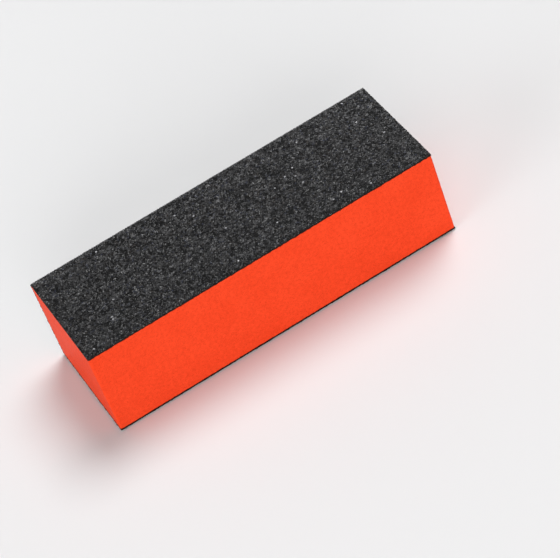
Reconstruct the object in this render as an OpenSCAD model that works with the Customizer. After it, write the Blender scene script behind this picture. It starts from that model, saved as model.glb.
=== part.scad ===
// Nail buffer block: a foam block with one abrasive sheet glued round three of its long faces.
// The sheet runs over the top, folds down the back and folds again under the bottom.
// The front long face and both ends are bare foam.
//
// The block lies on a wide coated face. X runs along its length, the bare long face looks
// towards -Y, Z is up, and the origin is the middle of the footprint.

/* [Block] */
// Length of the block, between its two bare ends
block_length = 95; // [60:1:150]
// Width of the two wide faces, from the bare long face to the coated narrow face
block_width = 34; // [20:0.5:60]
// Thickness of the block, across its two coated wide faces
block_thickness = 25.5; // [12:0.5:40]
// Radius of the foam's two edges that the sheet folds round
foam_edge_radius = 0.4; // [0.2:0.1:4]

/* [Abrasive sheet] */
// Thickness of the glue film between the foam and the paper
adhesive_thickness = 0.1; // [0.05:0.01:0.3]
// Thickness of the backing paper
paper_thickness = 0.2; // [0.1:0.01:0.5]
// Thickness of the resin that the grains are set in
make_thickness = 0.05; // [0.05:0.01:0.2]
// Thickness of the layer of abrasive grains
grit_thickness = 0.2; // [0.1:0.01:0.4]
// Thickness of the resin that locks the grains from above
size_thickness = 0.05; // [0.05:0.01:0.2]

/* [Colours] */
// Colour of the foam
foam_colour = "OrangeRed"; // ["OrangeRed", "Tomato", "Coral", "Orange"]
// Colour of the glue film
adhesive_colour = "Goldenrod"; // ["Goldenrod", "Khaki", "Wheat"]
// Colour of the backing paper
paper_colour = "SaddleBrown"; // ["SaddleBrown", "Sienna", "DimGray"]
// Colour of the resin coats
resin_colour = "Black"; // ["Black", "DarkSlateGray"]
// Colour of the abrasive grains
grit_colour = "DimGray"; // ["DimGray", "SlateGray", "Gray"]

/* [Hidden] */

// How far the outer side of each layer is from the foam
adhesive_outside = adhesive_thickness;
paper_outside = adhesive_outside + paper_thickness;
make_outside = paper_outside + make_thickness;
grit_outside = make_outside + grit_thickness;
sheet_thickness = grit_outside + size_thickness;

// How far a layer's inner outline is carried past the front, so that the sheet ends there open
open_end = 1;

$fn = 96;

// The corner that a fold of this radius takes off an outline. Its point is at the origin, and
// the outline lies towards -X and -Y.
module fold_corner(radius) {
    difference() {
        translate([-radius, -radius])
            square(2 * radius);
        translate([-radius, -radius])
            circle(r = radius);
    }
}

// The block's section with the stack of layers built up to a height over the foam. X is the
// depth, from the bare face at 0 to the back, and Y is up. past is how far it is carried
// out of the bare face.
module section(height, past = 0) {
    cover = sheet_thickness - height;
    back = block_width - cover;
    top = block_thickness - cover;
    radius = foam_edge_radius + height;
    difference() {
        translate([-past, cover])
            square([back + past, top - cover]);
        translate([back, top])
            fold_corner(radius);
        translate([back, cover])
            mirror([0, 1])
                fold_corner(radius);
    }
}

// Runs a section along the length of the block
module along_block() {
    translate([-block_length / 2, -block_width / 2, 0])
        rotate([90, 0, 90])
            linear_extrude(height = block_length)
                children();
}

// One layer of the folded sheet, between two heights over the foam
module folded_layer(inside, outside) {
    along_block()
        difference() {
            section(outside);
            section(inside, open_end);
        }
}

module foam_core() {
    color(foam_colour)
        along_block()
            section(0);
}

module adhesive_film() {
    color(adhesive_colour)
        folded_layer(0, adhesive_outside);
}

module backing_paper() {
    color(paper_colour)
        folded_layer(adhesive_outside, paper_outside);
}

module make_coat() {
    color(resin_colour)
        folded_layer(paper_outside, make_outside);
}

module abrasive_grit() {
    color(grit_colour)
        folded_layer(make_outside, grit_outside);
}

module size_coat() {
    color(resin_colour)
        folded_layer(grit_outside, sheet_thickness);
}

foam_core();
adhesive_film();
backing_paper();
make_coat();
abrasive_grit();
size_coat();
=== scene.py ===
"""The looks of a nail buffer block: an orange foam core with a black abrasive sheet folded round
its top, back and bottom. The bare foam shows on the front and on both ends.

Everything is in metres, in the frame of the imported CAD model. Surface points on the sheet are
given by x, by s, the distance along the folded sheet from its front top edge, and by h, the
height over the foam.
"""

import math

import bpy
import numpy as np
from mathutils import Matrix, Vector


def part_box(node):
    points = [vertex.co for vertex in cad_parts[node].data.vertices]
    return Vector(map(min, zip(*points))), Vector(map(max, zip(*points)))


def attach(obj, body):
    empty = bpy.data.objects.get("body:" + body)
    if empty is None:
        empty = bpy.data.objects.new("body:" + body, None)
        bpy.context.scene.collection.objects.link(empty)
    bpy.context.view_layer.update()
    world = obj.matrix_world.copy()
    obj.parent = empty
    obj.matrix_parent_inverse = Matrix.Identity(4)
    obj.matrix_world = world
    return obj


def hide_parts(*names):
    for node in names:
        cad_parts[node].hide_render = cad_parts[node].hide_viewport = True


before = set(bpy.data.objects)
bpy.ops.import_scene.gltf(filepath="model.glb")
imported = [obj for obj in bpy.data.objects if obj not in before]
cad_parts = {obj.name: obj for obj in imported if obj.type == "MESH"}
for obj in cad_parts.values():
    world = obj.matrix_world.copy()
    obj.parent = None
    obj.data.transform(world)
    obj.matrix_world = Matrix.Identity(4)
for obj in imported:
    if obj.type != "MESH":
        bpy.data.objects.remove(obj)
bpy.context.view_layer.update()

MM = 0.001

# The CAD model's sizes: the foam core's corners and sides, and heights over the foam
CORE_LOW, CORE_HIGH = (np.array(corner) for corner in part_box("foam_core"))
LENGTH, DEPTH, THICKNESS = CORE_HIGH - CORE_LOW
SHEET_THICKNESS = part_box("size_coat")[1].z - CORE_HIGH[2]
MAKE_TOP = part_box("make_coat")[1].z - CORE_HIGH[2]
CORE_EDGE_RADIUS = 0.4 * MM

# The folded sheet, from its front top edge round the back to its front bottom edge. Its run
# round a fold is measured at this share of its thickness.
FOLD_LEVEL = 0.75
FOLD_Y = CORE_HIGH[1] - CORE_EDGE_RADIUS
FOLD_TOP_Z = CORE_HIGH[2] - CORE_EDGE_RADIUS
FOLD_LOW_Z = CORE_LOW[2] + CORE_EDGE_RADIUS
WIDE_RUN = FOLD_Y - CORE_LOW[1]
BACK_RUN = FOLD_TOP_Z - FOLD_LOW_Z
FOLD_RUN = (CORE_EDGE_RADIUS + FOLD_LEVEL * SHEET_THICKNESS) * math.pi / 2
SHEET_RUN = 2 * WIDE_RUN + 2 * FOLD_RUN + BACK_RUN

# The sheet's cut edges: how far the cut wanders and over what length, how near to it a corner
# is drawn in, as a share of the cells' pitch, and the share of its distance that it keeps
CUT_WANDER = 0.07 * MM
CUT_WAVE = 0.6 * MM
CUT_REACH = 0.36
CUT_KEEP = 0.22

# Abrasive grains: their spacing, the heights of their tops and feet, how far their tops reach
# from their middles as a share of the spacing, and how they are turned, in radians
GRAINS_ALONG = 180
GRAIN_PITCH = LENGTH / GRAINS_ALONG
GRAIN_JITTER = 0.33
GRAIN_TOP = (0.45 * MM, 0.60 * MM)
GRAIN_FOOT = (0.355 * MM, 0.41 * MM)
GRAIN_ROOT = MAKE_TOP - 0.02 * MM
GRAIN_REACH = (0.13, 0.24)
GRAIN_STRETCH = (1.0, 1.6)
GRAIN_TURN, CORNER_TURN = 0.45, 0.25
GRAIN_TILT, WORN_TILT = 0.5, 0.15
STEEPEST_GRAIN = math.radians(57)

# How the grains' fullness varies, in clumps and by chance. A full grain is high and pale. The
# emptiest have lost their tops.
CLUMP = 0.45 * MM
CLUMP_SHARE, WIDE_CLUMP_SHARE, CHANCE_SHARE = 0.75, 0.35, 0.22
FULLNESS_LIFT = 0.15
LOST_BELOW, LOST_HEIGHT = 0.16, 0.045 * MM
TONE_CHANCE = 0.2

# Wear along the folds: how far it reaches and how full it is before it is cut off at 1, the
# height that grains are worn to between low and high, and what counts as fresh and as worn
WEAR_REACH, WEAR_AT_FOLD = 1.1 * MM, 1.25
WORN_HEIGHT = 0.55
FRESH_BELOW, WORN_ABOVE = 0.3, 0.5

# Grains along the cut are crushed and darkened
CRUSH_REACH, CRUSH_DEPTH = 0.9 * MM, 0.08 * MM
DARK_REACH, DARK_SHARE = 0.65 * MM, 0.9

# Resin between the grains
RESIN_CELLS_ALONG = 120
RESIN_PITCH = LENGTH / RESIN_CELLS_ALONG
RESIN_JITTER = 0.2
RESIN_LEVEL = 0.425 * MM
RESIN_ROOT = MAKE_TOP - 0.03 * MM
RESIN_WAVE, RESIN_WAVE_HEIGHT = 0.9 * MM, 0.018 * MM

# Foam: the spacing of its points on the faces, the finer spacing within a margin of their
# edges, the same as shares of the height, and the two upright corners
FOAM_PITCH = 0.27 * MM
FOAM_FINE_PITCH = 0.1 * MM
FOAM_END_MARGIN, FOAM_FRONT_MARGIN = 0.4 * MM, 0.3 * MM
FOAM_FINE_SHARE, FOAM_MARGIN_SHARE = 0.004, 0.016
FOAM_CORNER_RADIUS = 0.5 * MM
FOAM_CORNER_STEPS = 6

# The unevenness of the cut foam: swells as (height, size, seed), pits where a noise passes
# PIT_START, and a rounding at the edges along the sheet
FOAM_SWELLS = ((0.02 * MM, 9 * MM, 31), (0.016 * MM, 1.4 * MM, 32), (0.014 * MM, 0.5 * MM, 33))
PIT_DEPTH, PIT_SIZE, PIT_START = 0.05 * MM, 0.6 * MM, 0.35
EDGE_DROP, EDGE_REACH = 0.05 * MM, 0.3 * MM

# The foam's cells, as its material shows them
FOAM_CELL = 0.32 * MM

# How far the glue under the sheet has soaked into the foam's edge, at least and at most, and
# how ragged its line is
SOAK_LEAST, SOAK_MOST = 0.03 * MM, 0.22 * MM
SOAK_RAGGED = 0.15 * MM

# The range of values that a noise node really covers
NOISE_LOW, NOISE_HIGH = 0.3, 0.7

# Colours, as linear red, green and blue
FOAM_DARK, FOAM_LIGHT = (0.745, 0.052, 0.0145), (0.80, 0.061, 0.0185)
# The foam's darkest colour serves its mottle and the painted shade in its cut-open cells
FOAM_WALL, FOAM_MOTTLE_AND_PIT_SHADE = (0.86, 0.08, 0.025), (0.56, 0.03, 0.0076)
GRIT_DARK, GRIT_MIDDLE = (0.001, 0.001, 0.001), (0.017, 0.017, 0.018)
GRIT_LIGHT, GRIT_BRIGHT = (0.055, 0.055, 0.057), (0.15, 0.15, 0.155)
GRIT_BLUE, GRIT_BROWN = (0.025, 0.03, 0.055), (0.035, 0.026, 0.02)
GRIT_WORN, GRIT_GLINT = (0.03, 0.03, 0.032), (0.40, 0.40, 0.42)
RESIN_DARK, RESIN_LIGHT = (0.002, 0.002, 0.002), (0.006, 0.006, 0.0065)
PAPER_DARK, PAPER_LIGHT = (0.003, 0.002, 0.002), (0.012, 0.008, 0.006)
GLUE_DARK, GLUE_LIGHT = (0.02, 0.006, 0.003), (0.06, 0.014, 0.006)
FLOOR_COLOUR = (0.81, 0.81, 0.815)

# Painted light on the grit: how bright its colour is made at its left end and at its right end, and
# how much more at its back, a gradient of the studio's light painted into it
LEFT_PAINTED_LIGHT, RIGHT_PAINTED_LIGHT, BACK_PAINTED_LIGHT = 0.81, 1.08, 0.15

# A grain gets a painted glint, a pale colour that stands in for a sparkle of light, if its scatter
# and its tone are both above these
GLINT_SCATTER, GLINT_TONE = 0.9982, 0.35

# The camera, from the photograph's viewing angle
CAMERA_AZIMUTH = math.radians(-13.51)
CAMERA_ELEVATION = math.radians(42.39)
CAMERA_ROLL = math.radians(21.86)
CAMERA_DISTANCE = 0.6625
CAMERA_LENS = 176.6
CAMERA_AIM = Vector((4.46, -7.14, 6.61)) * MM

# The studio: its floor, and the light of its backdrop and its ceiling with the elevations
# between which the one fades into the other
FLOOR_REACH = 6.0
BACKDROP_LIGHT, CEILING_LIGHT = 0.82, 0.17
BACKDROP_TOP, CEILING_EDGE = math.radians(10), math.radians(35)


# ---------------------------------------------------------------- shapes


def smooth_noise(u, v, cell, seed):
    """Smooth random values from -1 to 1 at the points (u, v), with features about a cell wide."""
    size = 256
    table = np.random.default_rng(seed).uniform(-1, 1, (size, size))
    gu, gv = np.asarray(u) / cell, np.asarray(v) / cell
    i, j = np.floor(gu).astype(int), np.floor(gv).astype(int)
    fu, fv = gu - i, gv - j
    fu, fv = fu * fu * (3 - 2 * fu), fv * fv * (3 - 2 * fv)
    i0, i1, j0, j1 = i % size, (i + 1) % size, j % size, (j + 1) % size
    near = table[i0, j0] * (1 - fu) + table[i1, j0] * fu
    far = table[i0, j1] * (1 - fu) + table[i1, j1] * fu
    return near * (1 - fv) + far * fv


def on_sheet(x, s, h):
    """The points on the folded sheet at the lengthwise place x, the run s and the height h."""
    first = np.clip((s - WIDE_RUN) / FOLD_RUN, 0, 1)
    second = np.clip((s - WIDE_RUN - FOLD_RUN - BACK_RUN) / FOLD_RUN, 0, 1)
    turned = (first + second) * math.pi / 2
    out_run = np.minimum(s, WIDE_RUN)
    back_run = np.maximum(s - (SHEET_RUN - WIDE_RUN), 0)
    down_run = np.clip(s - WIDE_RUN - FOLD_RUN, 0, BACK_RUN)
    radius = CORE_EDGE_RADIUS + h
    y = CORE_LOW[1] + out_run - back_run + radius * np.sin(turned)
    z = FOLD_TOP_Z - down_run + radius * np.cos(turned)
    return np.stack(np.broadcast_arrays(x, y, z), axis=-1).reshape(-1, 3)


def mesh_piece(name, points, faces, material, smooth):
    """A new object with its mesh, its material and its shading."""
    mesh = bpy.data.meshes.new(name)
    mesh.from_pydata(points, [], faces)
    mesh.validate()
    mesh.materials.append(material)
    mesh.polygons.foreach_set("use_smooth", [smooth] * len(mesh.polygons))
    mesh.update()
    piece = bpy.data.objects.new(name, mesh)
    bpy.context.scene.collection.objects.link(piece)
    return piece


def face_values(piece, name, values):
    """Gives each face of a piece a number that its material reads."""
    layer = piece.data.attributes.new(name, "FLOAT", "FACE")
    layer.data.foreach_set("value", np.asarray(values, np.float32))


class Cells:
    """A loose honeycomb over the whole unfolded sheet. Each cell has a centre and the six
    corners that it shares with its neighbours, in order round it. A ring of cells outside the
    sheet only lends its corners, and the corners at the sheet's edges are drawn in to the cut."""

    def __init__(self, pitch, jitter, seed):
        rows = round(SHEET_RUN / (pitch * math.sqrt(3) / 2))
        row_pitch = SHEET_RUN / rows
        columns = round(LENGTH / pitch)
        row, column = np.meshgrid(
            np.arange(-1, rows + 1), np.arange(-1, columns + 1), indexing="ij"
        )
        gen = np.random.default_rng(seed)
        shift_x, shift_s = gen.uniform(-jitter, jitter, (2, *row.shape)) * pitch
        x = CORE_LOW[0] + (column + 0.25 + 0.5 * (row % 2)) * pitch + shift_x
        s = (row + 0.5) * row_pitch + shift_s
        self.pitch = pitch
        self.centres = np.stack([x, s], axis=-1)[1:-1, 1:-1]
        self.corners = self._corners(x, s, row)
        self.ring = self._ring(row)

    def _corners(self, x, s, row):
        """The middles of the two triangles that each centre makes with the next row."""
        at = np.stack([x, s], axis=-1)
        here, right = at[:-1, :-1], at[:-1, 1:]
        above, above_right = at[1:, :-1], at[1:, 1:]
        odd = (row[:-1, :-1] % 2 == 1)[..., None]
        up = (here + right + np.where(odd, above_right, above)) / 3
        down = (above + above_right + np.where(odd, here, right)) / 3
        corners = np.stack([up, down], axis=2)
        for axis, low, high in ((0, CORE_LOW[0], CORE_HIGH[0]), (1, 0, SHEET_RUN)):
            along = corners[..., 1 - axis]
            corners[..., axis] = self._drawn_in(corners[..., axis], along, low, high)
        return corners

    def _drawn_in(self, value, along, low, high):
        """Corners near a cut edge move most of the way to it. The cut wanders a little."""
        reach = CUT_REACH * self.pitch
        low = low + CUT_WANDER * smooth_noise(along, along * 0, CUT_WAVE, seed=17)
        high = high + CUT_WANDER * smooth_noise(along, along * 0, CUT_WAVE, seed=18)
        value = np.where(value < low + reach, low + CUT_KEEP * (value - low), value)
        return np.where(value > high - reach, high + CUT_KEEP * (value - high), value)

    def _ring(self, row):
        """For each cell inside the outer ring, the numbers of its six corners."""
        rows, columns = self.corners.shape[:2]
        number = np.arange(rows * columns * 2).reshape(rows, columns, 2)
        up, down = number[..., 0], number[..., 1]
        r = np.arange(1, rows)[:, None]
        c = np.arange(1, columns)[None, :]
        odd = row[1:-1, 1:-1] % 2 == 1
        return np.stack(
            [
                up[r, c],
                np.where(odd, down[r, c], down[r, c - 1]),
                up[r, c - 1],
                down[r - 1, c - 1],
                np.where(odd, up[r - 1, c], up[r - 1, c - 1]),
                down[r - 1, c],
            ],
            axis=-1,
        )


def closed_skin(flat, height, triangles, ring, root):
    """A closed solid from triangles that cover whole cells: their skin, an underside of
    six-sided faces at the height root, and a skirt between the two. flat holds x and s for each
    point, height its h, and ring the six corners of each cell."""
    here = np.concatenate([ring, np.roll(ring, -1, axis=1)]).reshape(2, -1).T
    low, high = here.min(axis=1), here.max(axis=1)
    _, first, count = np.unique(
        low * len(flat) + high, return_index=True, return_counts=True
    )
    start, end = here[first[count == 1]].T
    under = np.unique(ring)
    under_number = np.zeros(len(flat), int)
    under_number[under] = len(flat) + np.arange(len(under))
    skirt = np.stack([end, start, under_number[start], under_number[end]], axis=1)
    flat = np.concatenate([flat, flat[under]])
    height = np.concatenate([height, np.full(len(under), root)])
    faces = [triangles, under_number[ring][:, ::-1], skirt]
    used = np.unique(np.concatenate([face.ravel() for face in faces]))
    local = np.zeros(len(flat), int)
    local[used] = np.arange(len(used))
    points = on_sheet(flat[used, 0], flat[used, 1], height[used])
    return points, [face for group in faces for face in local[group].tolist()]


def calmed(flat, height, triangles, steepest):
    """Lowers and raises corners until no triangle is steeper than steepest."""
    rounds, step, tiny = 60, 0.3, 1e-15
    height = height.copy()
    limit = math.tan(steepest)
    for _ in range(rounds):
        a, b, c = (np.c_[flat[triangles[:, k]], height[triangles[:, k]]] for k in range(3))
        normal = np.cross(b - a, c - a)
        slope = np.linalg.norm(normal[:, :2], axis=1) / np.maximum(normal[:, 2], tiny)
        steep = triangles[slope > limit]
        if not len(steep):
            break
        level = height[steep].mean(axis=1, keepdims=True)
        change = np.zeros_like(height)
        count = np.zeros_like(height)
        np.add.at(change, steep, step * (level - height[steep]))
        np.add.at(count, steep, 1)
        height += change / np.maximum(count, 1)
    return height


def edge_distance(x, s):
    """How far a point of the sheet is from the nearest cut edge."""
    to_ends = np.minimum(x - CORE_LOW[0], CORE_HIGH[0] - x)
    return np.minimum(to_ends, np.minimum(s, SHEET_RUN - s))


def edge_share(x, s, reach):
    """From 1 at a cut edge to 0 at a distance of reach from it."""
    return np.clip(1 - edge_distance(x, s) / reach, 0, 1)


def fold_share(s):
    """From 0 on the flat faces to 1 at the middle of a fold."""
    to_fold = np.minimum(
        np.abs(s - WIDE_RUN - FOLD_RUN / 2), np.abs(s - SHEET_RUN + WIDE_RUN + FOLD_RUN / 2)
    )
    return np.clip(WEAR_AT_FOLD - to_fold / WEAR_REACH, 0, 1)


def on_cut(corner):
    """Which corners of the cells lie at a cut edge of the sheet."""
    return edge_distance(corner[:, 0], corner[:, 1]) < 2 * CUT_WANDER


def stretched(angle, long_way, stretch):
    """The point at an angle on an oval that is longer by stretch along its long way."""
    along = np.cos(angle - long_way) * stretch
    across = np.sin(angle - long_way) / stretch
    turn_x, turn_s = np.cos(long_way), np.sin(long_way)
    return np.stack([along * turn_x - across * turn_s, along * turn_s + across * turn_x])


def grain_heights(x, s, worn, gen):
    """How high each grain stands, and its fullness from 0 to 1."""
    low, high = GRAIN_TOP
    crushed = edge_share(x, s, CRUSH_REACH) * gen.random(x.shape)
    clump = smooth_noise(x, s, CLUMP, seed=13)
    clump += WIDE_CLUMP_SHARE * smooth_noise(x, s, 2 * CLUMP, seed=14)
    chance = CHANCE_SHARE * gen.normal(size=x.shape)
    fullness = np.clip(0.5 + CLUMP_SHARE * clump + chance, 0, 1)
    height = low + (high - low) * np.clip(fullness + FULLNESS_LIFT, 0, 1)
    height[(fullness < LOST_BELOW) & (worn < FRESH_BELOW)] -= LOST_HEIGHT
    height = height * (1 - worn) + (low + WORN_HEIGHT * (high - low)) * worn
    return height - crushed * CRUSH_DEPTH, fullness


def grain_tops(centre, height, worn, gen):
    """Each grain's tilted three-cornered top. Gives its corners, their heights, and start, 0
    or 1: the corner of its foot that the top's first corner goes with."""
    shape = height.shape
    reach = GRAIN_PITCH * gen.uniform(*GRAIN_REACH, shape)
    stretch = gen.uniform(*GRAIN_STRETCH, shape)
    long_way = gen.uniform(0, math.pi, shape)
    start = gen.integers(0, 2, shape)
    turn = math.radians(60) * (1 + start) + gen.uniform(-GRAIN_TURN, GRAIN_TURN, shape)
    tilt = np.where(worn > WORN_ABOVE, WORN_TILT, GRAIN_TILT) * gen.normal(size=(2, *shape))
    tips, tip_heights = [], []
    for k in range(3):
        angle = turn + k * math.tau / 3 + gen.uniform(-CORNER_TURN, CORNER_TURN, shape)
        off = stretched(angle, long_way, stretch) * reach
        tips.append(centre + np.moveaxis(off, 0, -1))
        tip_heights.append(np.minimum(height + (tilt * off).sum(axis=0), GRAIN_TOP[1]))
    return np.stack(tips, axis=2), np.stack(tip_heights, axis=2), start


def stub_triangles(ring, start, tip_number):
    """Each grain's top and its nine flanks, between the six corners of its foot and the three
    corners of its top."""
    ring = np.where(start[..., None] == 1, np.roll(ring, -1, axis=-1), ring)
    triangles = [tip_number]
    for k in range(3):
        a, b, c = (ring[..., (2 * k + i) % 6] for i in range(3))
        here, after = tip_number[..., k], tip_number[..., (k + 1) % 3]
        for triple in ((a, b, here), (b, c, after), (b, after, here)):
            triangles.append(np.stack(triple, axis=-1))
    return np.stack(triangles, axis=2)


def grain_strips():
    """The abrasive grains: angular stubs on the honeycomb, as one closed strip for each face
    and each fold of the sheet. Gives each strip's points and faces, and for each face the tone
    and the wear of its grain."""
    cells = Cells(GRAIN_PITCH, GRAIN_JITTER, seed=11)
    gen = np.random.default_rng(12)
    centre = cells.centres
    x, s = centre[..., 0], centre[..., 1]
    worn = fold_share(s)

    corner = cells.corners.reshape(-1, 2)
    foot = gen.uniform(*GRAIN_FOOT, len(corner))
    foot[on_cut(corner)] = MAKE_TOP
    height, fullness = grain_heights(x, s, worn, gen)
    tip, tip_height, start = grain_tops(centre, height, worn, gen)

    tip_number = len(corner) + np.arange(tip_height.size).reshape(tip_height.shape)
    triangles = stub_triangles(cells.ring, start, tip_number)
    flat = np.concatenate([corner, tip.reshape(-1, 2)])
    h = np.concatenate([foot, tip_height.reshape(-1)])
    h = calmed(flat, h, triangles.reshape(-1, 3), STEEPEST_GRAIN)

    shade = 1 - DARK_SHARE * edge_share(x, s, DARK_REACH)
    chance = TONE_CHANCE * gen.random(x.shape)
    tone = np.clip((1 - TONE_CHANCE) * fullness + chance, 0, 1) * shade
    row_s = s.mean(axis=1)
    bounds = np.cumsum([0, WIDE_RUN, FOLD_RUN, BACK_RUN, FOLD_RUN, WIDE_RUN])
    for low, high in zip(bounds[:-1], bounds[1:], strict=True):
        rows = (row_s >= low) & (row_s < high)
        skin = triangles[rows].reshape(-1, 3)
        points, faces = closed_skin(flat, h, skin, cells.ring[rows].reshape(-1, 6), GRAIN_ROOT)
        per_face = [np.repeat(value[rows], triangles.shape[2]) for value in (tone, worn)]
        hidden = np.zeros(len(faces) - len(skin))
        yield points, faces, *(np.concatenate([value, hidden]) for value in per_face)


def resin_surface():
    """The resin that fills the gaps between the grains: a gently uneven skin over the sheet."""
    cells = Cells(RESIN_PITCH, RESIN_JITTER, seed=21)
    centre = cells.centres.reshape(-1, 2)
    corner = cells.corners.reshape(-1, 2)
    flat = np.concatenate([corner, centre])
    wave = smooth_noise(flat[:, 0], flat[:, 1], RESIN_WAVE, seed=22)
    h = RESIN_LEVEL + RESIN_WAVE_HEIGHT * wave
    h[on_cut(flat)] = MAKE_TOP
    middle = len(corner) + np.arange(len(centre))
    ring = cells.ring.reshape(-1, 6)
    triangles = np.concatenate(
        [np.stack([ring[:, k], ring[:, (k + 1) % 6], middle], axis=-1) for k in range(6)]
    )
    return closed_skin(flat, h, triangles, ring, RESIN_ROOT)


def ticks(length, fine, coarse, margin):
    """Places along a length that lie close together near both ends."""
    near = np.arange(0, margin, fine)
    count = max(2, round((length - 2 * margin) / coarse) + 1)
    return np.concatenate([near, np.linspace(margin, length - margin, count), length - near[::-1]])


def foam_outline():
    """The foam's bare outline, seen from above: along the left end, round a corner, along the
    front, round a corner and along the right end. Gives the run along it, its points' x and y,
    the directions out of it, and how many points lie on each end."""
    radius = FOAM_CORNER_RADIUS
    quarter = radius * math.pi / 2
    end_run, front_run = DEPTH - radius, LENGTH - 2 * radius
    front_start = end_run + quarter
    right_start = front_start + front_run + quarter
    end = ticks(end_run, FOAM_FINE_PITCH, FOAM_PITCH, FOAM_END_MARGIN)
    front = ticks(front_run, FOAM_FINE_PITCH, FOAM_PITCH, FOAM_FRONT_MARGIN)
    corner = np.linspace(0, quarter, FOAM_CORNER_STEPS + 1)[1:-1]
    run = np.concatenate(
        [
            end,
            end_run + corner,
            front_start + front,
            front_start + front_run + corner,
            right_start + end,
        ]
    )
    first = np.clip((run - end_run) / quarter, 0, 1)
    second = np.clip((run - front_start - front_run) / quarter, 0, 1)
    turned = (first + second) * math.pi / 2
    along = np.clip(run - front_start, 0, front_run)
    back = np.maximum(run - right_start, 0)
    out = np.stack([-np.cos(turned), -np.sin(turned)])
    x = CORE_LOW[0] + radius + along + radius * out[0]
    y = CORE_HIGH[1] - np.minimum(run, end_run) + back + radius * out[1]
    return run, x, y, out, int((run < end_run).sum())


def foam_relief(run, z):
    """How far the cut foam stands out at each place along the ribbon and at each height."""
    relief = sum(height * smooth_noise(run, z, size, seed) for height, size, seed in FOAM_SWELLS)
    relief -= PIT_DEPTH * np.clip(smooth_noise(run, z, PIT_SIZE, seed=34) - PIT_START, 0, 1)
    to_edge = np.minimum(z - z.min(axis=0), z.max(axis=0) - z)
    inside = np.clip(to_edge / EDGE_REACH, 0, 1)
    relief = relief * inside - EDGE_DROP * (1 - inside) ** 2
    relief[:, [0, -1]] = 0
    return relief


def foam_faces(rows, columns, deep):
    """The ribbon's faces, and flat faces that close it at the bottom, top and back. deep is
    how many points lie on each end of the block."""
    number = np.arange(rows * columns).reshape(rows, columns)
    a, b = number[:-1, :-1], number[:-1, 1:]
    c, d = number[1:, 1:], number[1:, :-1]
    faces = np.stack([a, b, c, d], axis=-1).reshape(-1, 4).tolist()
    for line, flip in ((number[0].tolist(), False), (number[-1].tolist(), True)):
        left, right = line[:deep], line[::-1][:deep]
        strips = [[left[k], right[k], right[k + 1], left[k + 1]] for k in range(deep - 1)]
        strips.append(line[deep - 1 : columns - deep + 1][::-1])
        faces += [face[::-1] if flip else face for face in strips]
    left, right = number[:, 0].tolist(), number[:, -1].tolist()
    return faces + [[left[k + 1], right[k + 1], right[k], left[k]] for k in range(rows - 1)]


def foam_surface():
    """The foam core. Its three bare faces are one ribbon round the left end, the front and the
    right end, with rounded upright corners and an uneven cut surface. Flat faces close it under
    the sheet."""
    run, x, y, out, deep = foam_outline()

    # The ribbon's top and bottom edges follow the two rounded edges at the back
    past_fold = np.clip(y - FOLD_Y, 0, CORE_EDGE_RADIUS)
    drop = CORE_EDGE_RADIUS - np.sqrt(CORE_EDGE_RADIUS**2 - past_fold**2)
    share = ticks(1, FOAM_FINE_SHARE, FOAM_PITCH / THICKNESS, FOAM_MARGIN_SHARE)
    z = CORE_LOW[2] + drop + share[:, None] * (THICKNESS - 2 * drop)

    relief = foam_relief(np.broadcast_to(run, z.shape), z)
    points = np.stack([x + relief * out[0], y + relief * out[1], z], axis=-1)
    return points.reshape(-1, 3).tolist(), foam_faces(*z.shape, deep)


# ---------------------------------------------------------------- materials


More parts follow.
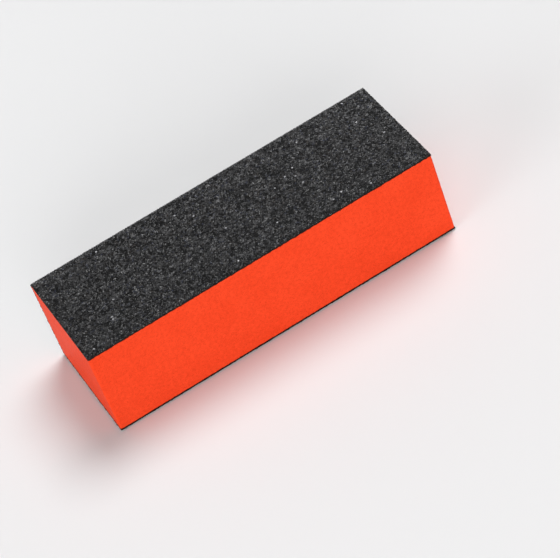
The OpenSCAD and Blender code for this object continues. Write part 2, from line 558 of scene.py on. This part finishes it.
class Material:
    """A material with a Principled shader, and short ways to add nodes to it."""

    def __init__(self, name, **values):
        self.material = bpy.data.materials.new(name)
        self.material.use_nodes = True
        self.tree = self.material.node_tree
        self.shader = self.tree.nodes["Principled BSDF"]
        for socket, value in values.items():
            self.shader.inputs[socket.replace("_", " ")].default_value = value
        self.place = self.node("ShaderNodeTexCoord").outputs["Object"]

    def node(self, kind, settings=None, **inputs):
        """Adds a node. An input is a number, a colour or another node's output, and is named
        by its socket, or by _ and its socket's number."""
        node = self.tree.nodes.new(kind)
        for key, value in (settings or {}).items():
            setattr(node, key, value)
        for socket, value in inputs.items():
            socket = node.inputs[int(socket[1:]) if socket[0] == "_" else socket.replace("_", " ")]
            if isinstance(value, bpy.types.NodeSocket):
                self.tree.links.new(value, socket)
            else:
                socket.default_value = value
        return node

    def noise(self, size, detail):
        """Noise with features of a size in metres, from 0 to 1."""
        node = self.node("ShaderNodeTexNoise", Vector=self.place, Scale=1 / size, Detail=detail)
        return node.outputs["Fac"]

    def cells(self, feature, size):
        """A pattern of cells of a size in metres."""
        settings = {"feature": feature}
        return self.node("ShaderNodeTexVoronoi", settings, Vector=self.place, Scale=1 / size)

    def ramp(self, fac, *stops):
        """A colour ramp with (position, colour) stops."""
        node = self.node("ShaderNodeValToRGB", Fac=fac)
        elements = node.color_ramp.elements
        while len(elements) < len(stops):
            elements.new(0.5)
        for element, (position, colour) in zip(elements, stops, strict=True):
            element.position = position
            element.color = (*colour, 1)
        return node.outputs["Color"]

    def noise_ramp(self, noise, first, second):
        """Takes a noise from one colour to another over the range that it really covers."""
        return self.ramp(noise, (NOISE_LOW, first), (NOISE_HIGH, second))

    def spread(self, value, low, high, to_low=0.0, to_high=1.0):
        """Maps a value from one range to another and clamps it."""
        node = self.node("ShaderNodeMapRange", Value=value)
        for socket, number in zip(
            ("From Min", "From Max", "To Min", "To Max"), (low, high, to_low, to_high), strict=True
        ):
            node.inputs[socket].default_value = number
        return node.outputs["Result"]

    def noise_spread(self, noise, to_low, to_high):
        """Maps the range that a noise really covers to another range."""
        return self.spread(noise, NOISE_LOW, NOISE_HIGH, to_low, to_high)

    def math(self, operation, first, second=0.0):
        """The result of one sum with one or two values."""
        node = self.node("ShaderNodeMath", {"operation": operation}, _0=first, _1=second)
        return node.outputs[0]

    def scatter(self, value, factor):
        """A number from 0 to 1 that looks random but depends only on the value. Other factors
        give other numbers."""
        return self.math("FRACT", self.math("MULTIPLY", value, factor))

    def mix(self, fac, first, second):
        """Mixes two colours."""
        node = self.node("ShaderNodeMix", {"data_type": "RGBA"}, _0=fac)
        for socket, value in ((node.inputs[6], first), (node.inputs[7], second)):
            if isinstance(value, bpy.types.NodeSocket):
                self.tree.links.new(value, socket)
            else:
                socket.default_value = (*value, 1)
        return node.outputs[2]

    def scaled(self, colour, factor):
        """A colour made brighter or darker by a factor."""
        node = self.node("ShaderNodeVectorMath", {"operation": "SCALE"}, _0=colour, Scale=factor)
        return node.outputs["Vector"]

    def axis(self, name):
        """How far along the X, Y or Z axis a place is."""
        return self.node("ShaderNodeSeparateXYZ", Vector=self.place).outputs[name]

    def attribute(self, name):
        """The number that each face carries under a name."""
        return self.node("ShaderNodeAttribute", {"attribute_name": name}).outputs["Fac"]

    def glue_soak(self, rough_edge):
        """From 0 on clean foam to 1 where the glue under the sheet has soaked into its edge."""
        height = self.axis("Z")
        middle = (CORE_LOW[2] + CORE_HIGH[2]) / 2
        from_middle = self.math("ABSOLUTE", self.math("SUBTRACT", height, middle))
        to_sheet = self.math("SUBTRACT", THICKNESS / 2, from_middle)
        wavy = self.spread(self.noise(0.9 * MM, 2), 0.35, NOISE_HIGH, SOAK_LEAST, SOAK_MOST)
        ragged = self.math("MULTIPLY", self.math("SUBTRACT", rough_edge, 0.5), SOAK_RAGGED)
        soaked = self.math("SUBTRACT", self.math("ADD", wavy, ragged), to_sheet)
        return self.spread(soaked, -0.02 * MM, 0.05 * MM, to_high=0.92)

    def bump(self, height, distance, strength):
        """The surface's direction, made uneven by a height."""
        node = self.node("ShaderNodeBump", Height=height, Distance=distance, Strength=strength)
        return node.outputs["Normal"]

    def set(self, socket, value):
        """Leads a node's output into the shader."""
        self.tree.links.new(value, self.shader.inputs[socket])


def foam_material():
    """Closed-cell orange foam, cut with a blade: matte, with fine cells and a faint cloudiness.
    Some cells are cut open and darker, with painted shade in their hollows; their walls are
    paler, and glue has soaked into the edges along the sheet."""
    m = Material("foam_orange", Specular_IOR_Level=0.015)
    cell = m.cells("F1", FOAM_CELL).outputs["Color"]
    depth = m.node("ShaderNodeSeparateColor", Color=cell).outputs["Red"]
    inside = m.spread(m.cells("DISTANCE_TO_EDGE", FOAM_CELL).outputs["Distance"], 0.02, 0.18)
    cloud = m.noise(7 * MM, 3)
    mottle = m.noise(0.9 * MM, 2)
    fine = m.noise(0.12 * MM, 2)
    base = m.noise_ramp(cloud, FOAM_DARK, FOAM_LIGHT)
    base = m.mix(m.spread(mottle, 0.35, NOISE_HIGH, to_high=0.35), base, FOAM_MOTTLE_AND_PIT_SHADE)
    opened = m.math("MULTIPLY", inside, m.spread(depth, 0.3, 1.0, to_high=0.6))
    # Painted shade: the cut-open cells are darkened in their hollows
    base = m.mix(opened, base, FOAM_MOTTLE_AND_PIT_SHADE)
    base = m.mix(m.spread(inside, 0.6, 0.0, to_high=0.35), base, FOAM_WALL)
    m.set("Base Color", m.mix(m.glue_soak(fine), base, GLUE_DARK))
    m.set("Roughness", m.noise_spread(fine, 0.4, 0.55))
    height = m.math("SUBTRACT", m.math("MULTIPLY", fine, 0.3), opened)
    m.set("Normal", m.bump(height, 0.03 * MM, 0.6))
    return m.material


def grit_material():
    """Black mineral grains under a thin skin of resin. Each grain's colour comes from its tone,
    and it is paler the fuller the grain is. A few grains are bluish or brownish, and about 50
    of the 36,000 have a painted glint, a pale colour that stands in for a sparkle of light.
    The grit's colour is painted a little paler to the right and to the back, as in the
    photograph: painted light, a gradient of the studio's light. Where it is worn, at the
    folds, its grains are more alike."""
    m = Material("grit_black", Specular_IOR_Level=0.3)
    tone = m.attribute("grain")
    wear = m.attribute("wear")
    cloud = m.noise(4 * MM, 3)
    speck = m.noise(0.1 * MM, 1)
    hue = m.scatter(tone, 91.0)
    stops = (0.05, GRIT_DARK), (0.45, GRIT_MIDDLE), (0.9, GRIT_LIGHT), (1.0, GRIT_BRIGHT)
    grain = m.ramp(tone, *stops)
    grain = m.mix(m.noise_spread(cloud, 0, 0.2), grain, GRIT_MIDDLE)
    grain = m.mix(m.spread(speck, 0.45, 0.75, to_high=0.2), grain, GRIT_LIGHT)
    grain = m.mix(m.spread(hue, 0.9, 1.0, to_high=0.6), grain, GRIT_BLUE)
    grain = m.mix(m.spread(hue, 0.1, 0.0, to_high=0.5), grain, GRIT_BROWN)
    # Painted glints: a few grains get a pale colour that stands in for a sparkle of light
    rare = m.math("GREATER_THAN", m.scatter(tone, 61.0), GLINT_SCATTER)
    glint = m.math("MULTIPLY", rare, m.math("GREATER_THAN", tone, GLINT_TONE))
    grain = m.mix(glint, grain, GRIT_GLINT)
    grain = m.mix(m.math("MULTIPLY", wear, 0.5), grain, GRIT_WORN)
    # Painted light: the colour is made paler to the right and to the back, a gradient of the
    # studio's light
    painted_light_to_right = m.spread(m.axis("X"), CORE_LOW[0], CORE_HIGH[0], LEFT_PAINTED_LIGHT, RIGHT_PAINTED_LIGHT)
    painted_light_to_back = m.spread(m.axis("Y"), 3 * MM, CORE_HIGH[1], to_high=BACK_PAINTED_LIGHT)
    m.set("Base Color", m.scaled(grain, m.math("ADD", painted_light_to_right, painted_light_to_back)))
    m.set("Roughness", m.spread(m.scatter(tone, 37.0), 0, 1, 0.07, 0.4))
    m.set("Normal", m.bump(speck, 0.02 * MM, 0.4))
    return m.material


def resin_material():
    """Black phenolic resin between the grains."""
    m = Material("resin_black", Specular_IOR_Level=0.1)
    cloud = m.noise(0.8 * MM, 3)
    m.set("Base Color", m.noise_ramp(cloud, RESIN_DARK, RESIN_LIGHT))
    m.set("Roughness", m.noise_spread(cloud, 0.32, 0.5))
    m.set("Normal", m.bump(m.noise(0.15 * MM, 2), 0.02 * MM, 0.6))
    return m.material


def paper_material():
    """The cut edge of dark, resin-soaked backing paper, with its layers of fibre."""
    m = Material("backing_paper", Specular_IOR_Level=0.1)
    fibre = m.noise(0.06 * MM, 3)
    blotch = m.noise(1.2 * MM, 3)
    edge = m.noise_ramp(fibre, PAPER_DARK, PAPER_LIGHT)
    m.set("Base Color", m.mix(m.spread(blotch, 0.35, NOISE_HIGH), edge, PAPER_DARK))
    m.set("Roughness", m.noise_spread(fibre, 0.7, 0.95))
    m.set("Normal", m.bump(fibre, 0.03 * MM, 0.7))
    return m.material


def adhesive_material():
    """Dried amber-brown glue, which has soaked a little of the foam's colour."""
    m = Material("adhesive_brown", Specular_IOR_Level=0.15)
    blotch = m.noise(0.7 * MM, 3)
    m.set("Base Color", m.noise_ramp(blotch, GLUE_DARK, GLUE_LIGHT))
    m.set("Roughness", m.noise_spread(blotch, 0.4, 0.65))
    m.set("Normal", m.bump(m.noise(0.2 * MM, 2), 0.02 * MM, 0.5))
    return m.material


# ---------------------------------------------------------------- pieces


def build_grit():
    """The grains, as a strip for each face and each fold of the sheet."""
    material = grit_material()
    names = ("upper_face", "upper_fold", "narrow_face", "lower_fold", "lower_face")
    for name, (points, faces, tone, wear) in zip(names, grain_strips(), strict=True):
        piece = mesh_piece(f"grit_{name}", points, faces, material, smooth=False)
        face_values(piece, "grain", tone)
        face_values(piece, "wear", wear)
        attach(piece, "root")
        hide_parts("abrasive_grit")


def build_resin():
    """The size coat, which lies between the grains."""
    points, faces = resin_surface()
    piece = mesh_piece("size_resin", points, faces, resin_material(), smooth=True)
    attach(piece, "root")
    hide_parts("size_coat")


def build_foam():
    """The foam core, with its cut faces."""
    points, faces = foam_surface()
    piece = mesh_piece("foam_block", points, faces, foam_material(), smooth=True)
    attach(piece, "root")
    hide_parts("foam_core")


def finish_layers():
    """The thin layers under the grains keep their CAD shapes and get their own materials."""
    for node, material in (
        ("adhesive_film", adhesive_material()),
        ("backing_paper", paper_material()),
        ("make_coat", resin_material()),
    ):
        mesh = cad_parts[node].data
        mesh.materials.clear()
        mesh.materials.append(material)


# ---------------------------------------------------------------- stage


def build_floor():
    """A plain pale floor that reaches past every view."""
    far = FLOOR_REACH
    corners = [(-far, -far, 0), (far, -far, 0), (far, far, 0), (-far, far, 0)]
    m = Material("floor_pale", Base_Color=(*FLOOR_COLOUR, 1), Roughness=1.0, Specular_IOR_Level=0.0)
    floor = mesh_piece("floor", corners, [(0, 1, 2, 3)], m.material, smooth=False)


def look_from(azimuth, elevation):
    """The direction from the object towards a place round it. Azimuth 0 is towards -Y."""
    return Vector(
        (
            math.sin(azimuth) * math.cos(elevation),
            -math.cos(azimuth) * math.cos(elevation),
            math.sin(elevation),
        )
    )


def build_camera():
    """The camera, which looks from the photograph's angle."""
    data = bpy.data.cameras.new("camera")
    data.lens = CAMERA_LENS
    data.sensor_width = 36.0
    data.clip_start, data.clip_end = 0.01, 20.0
    camera = bpy.data.objects.new("camera", data)
    bpy.context.scene.collection.objects.link(camera)
    back = look_from(CAMERA_AZIMUTH, CAMERA_ELEVATION)
    level = (-back).to_track_quat("-Z", "Y").to_matrix()
    rolled = level @ Matrix.Rotation(-CAMERA_ROLL, 3, "Z")
    camera.matrix_world = Matrix.Translation(CAMERA_AIM + back * CAMERA_DISTANCE) @ rolled.to_4x4()
    bpy.context.scene.camera = camera


def build_light(name, azimuth, elevation, spread, strength):
    """A distant soft light, which falls evenly on the block and the floor."""
    data = bpy.data.lights.new(name, "SUN")
    data.angle = math.radians(spread)
    data.energy = strength
    light = bpy.data.objects.new(name, data)
    bpy.context.scene.collection.objects.link(light)
    towards = look_from(math.radians(azimuth), math.radians(elevation))
    light.rotation_mode = "QUATERNION"
    light.rotation_quaternion = (-towards).to_track_quat("-Z", "Y")


def build_world():
    """A white studio: a pale backdrop low down, which fades to a dimmer ceiling."""
    world = bpy.data.worlds.new("studio")
    world.use_nodes = True
    nodes, links = world.node_tree.nodes, world.node_tree.links
    direction = nodes.new("ShaderNodeTexCoord").outputs["Generated"]
    parts = nodes.new("ShaderNodeSeparateXYZ")
    links.new(direction, parts.inputs["Vector"])
    fade = nodes.new("ShaderNodeMapRange")
    fade.interpolation_type = "SMOOTHSTEP"
    links.new(parts.outputs["Z"], fade.inputs["Value"])
    fade.inputs["From Min"].default_value = math.sin(BACKDROP_TOP)
    fade.inputs["From Max"].default_value = math.sin(CEILING_EDGE)
    fade.inputs["To Min"].default_value = BACKDROP_LIGHT
    fade.inputs["To Max"].default_value = CEILING_LIGHT
    links.new(fade.outputs["Result"], nodes["Background"].inputs["Strength"])
    nodes["Background"].inputs["Color"].default_value = (1.0, 1.0, 1.0, 1)
    bpy.context.scene.world = world


build_foam()
finish_layers()
build_resin()
build_grit()
build_floor()
build_camera()
build_world()
build_light("key", azimuth=125, elevation=58, spread=34, strength=2.12)
build_light("fill", azimuth=-15, elevation=10, spread=45, strength=2.28)
build_light("side", azimuth=-75, elevation=15, spread=40, strength=1.22)
bpy.context.scene.view_settings.view_transform = "Standard"
